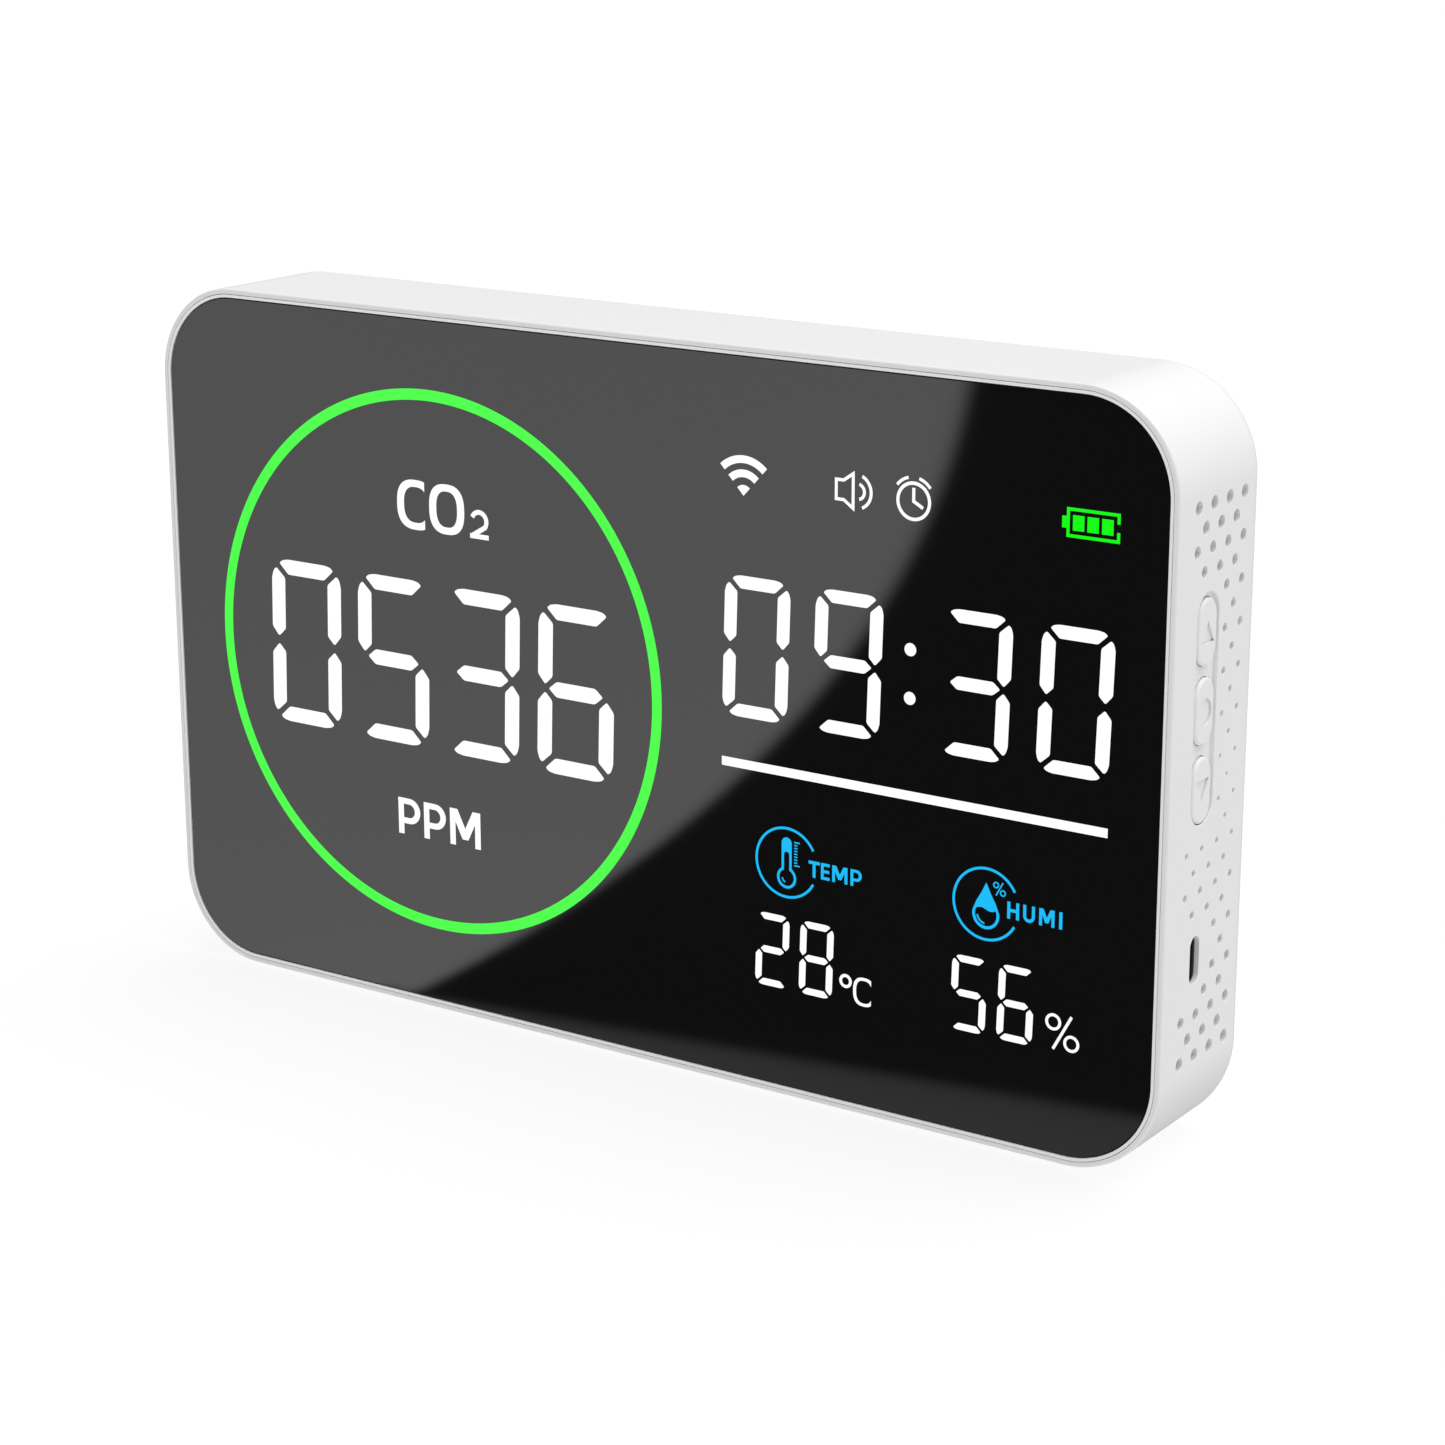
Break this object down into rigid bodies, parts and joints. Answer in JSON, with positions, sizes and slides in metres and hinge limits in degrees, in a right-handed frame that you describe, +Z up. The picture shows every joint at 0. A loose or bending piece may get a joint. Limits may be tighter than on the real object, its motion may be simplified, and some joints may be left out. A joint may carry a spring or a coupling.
{
  "type": "carbon dioxide monitor",
  "caption": "Flat desktop carbon dioxide monitor with a dark glass display, side vent holes, push buttons and a charging port.",
  "frame": {"origin": "centre of the case's underside", "axes": "+X to the right when facing the glass, +Y from the glass towards the back, +Z up"},
  "size_m": [0.22, 0.032, 0.136],
  "materials": {
    "case_white": "fine satin moulded ABS, white",
    "button_white": "satin moulded ABS, white",
    "glass_black": "polished dark smoked glass, printed black behind",
    "tape_grey": "foam mounting tape",
    "lit_white": "white diffuser lit from behind",
    "lit_green": "light guide lit green",
    "lit_blue": "blue filter film lit from behind",
    "mask_black": "matt black moulded light block",
    "board_green": "green solder mask",
    "steel": "plated steel",
    "gold": "gold plated gas cell",
    "chip_black": "moulded component plastic",
    "filter_white": "porous white membrane",
    "cell_blue": "shrink-wrapped cell",
    "lead_black": "sleeved wires",
    "plug_white": "natural nylon",
    "mesh_grey": "fine woven dust mesh"
  },
  "bodies": {
    "case": {"rear_shell": "case_white", "front_frame": "case_white", "front_glass": "glass_black", "glass_tape": "tape_grey", "diffuser_film": "lit_white", "icon_filter": "lit_blue", "light_mask": "mask_black", "ring_light_guide": "lit_green", "main_board": "board_green", "usb_receptacle": "steel", "vent_mesh": "mesh_grey", "co2_header": "chip_black", "co2_sensor_board": "board_green", "co2_gas_cell": "gold", "co2_filter_1": "filter_white", "co2_filter_2": "filter_white", "humidity_sensor": "plug_white", "wifi_board": "board_green", "wifi_shield": "steel", "processor_chip": "chip_black", "display_driver_1": "chip_black", "display_driver_2": "chip_black", "buzzer": "chip_black", "battery_cell": "cell_blue", "battery_socket": "plug_white", "battery_plug": "plug_white", "battery_lead": "lead_black", "up_switch_housing": "chip_black", "select_switch_housing": "chip_black", "down_switch_housing": "chip_black", "case_screw_1": "steel", "board_screw_1": "steel", "case_screw_2": "steel", "board_screw_2": "steel", "case_screw_3": "steel", "board_screw_3": "steel", "case_screw_4": "steel", "board_screw_4": "steel"},
    "up_key": {"up_button": "button_white", "up_switch_plunger": "plug_white"},
    "select_key": {"select_button": "button_white", "select_switch_plunger": "plug_white"},
    "down_key": {"down_button": "button_white", "down_switch_plunger": "plug_white"}
  },
  "joints": [
    {"name": "up_key_press", "type": "slide", "parent": "case", "child": "up_key", "axis": [-1, 0, 0], "range_m": [0, 0.0005], "stiffness_N_per_m": 2000},
    {"name": "select_key_press", "type": "slide", "parent": "case", "child": "select_key", "axis": [-1, 0, 0], "range_m": [0, 0.0005], "stiffness_N_per_m": 2000},
    {"name": "down_key_press", "type": "slide", "parent": "case", "child": "down_key", "axis": [-1, 0, 0], "range_m": [0, 0.0005], "stiffness_N_per_m": 2000}
  ]
}
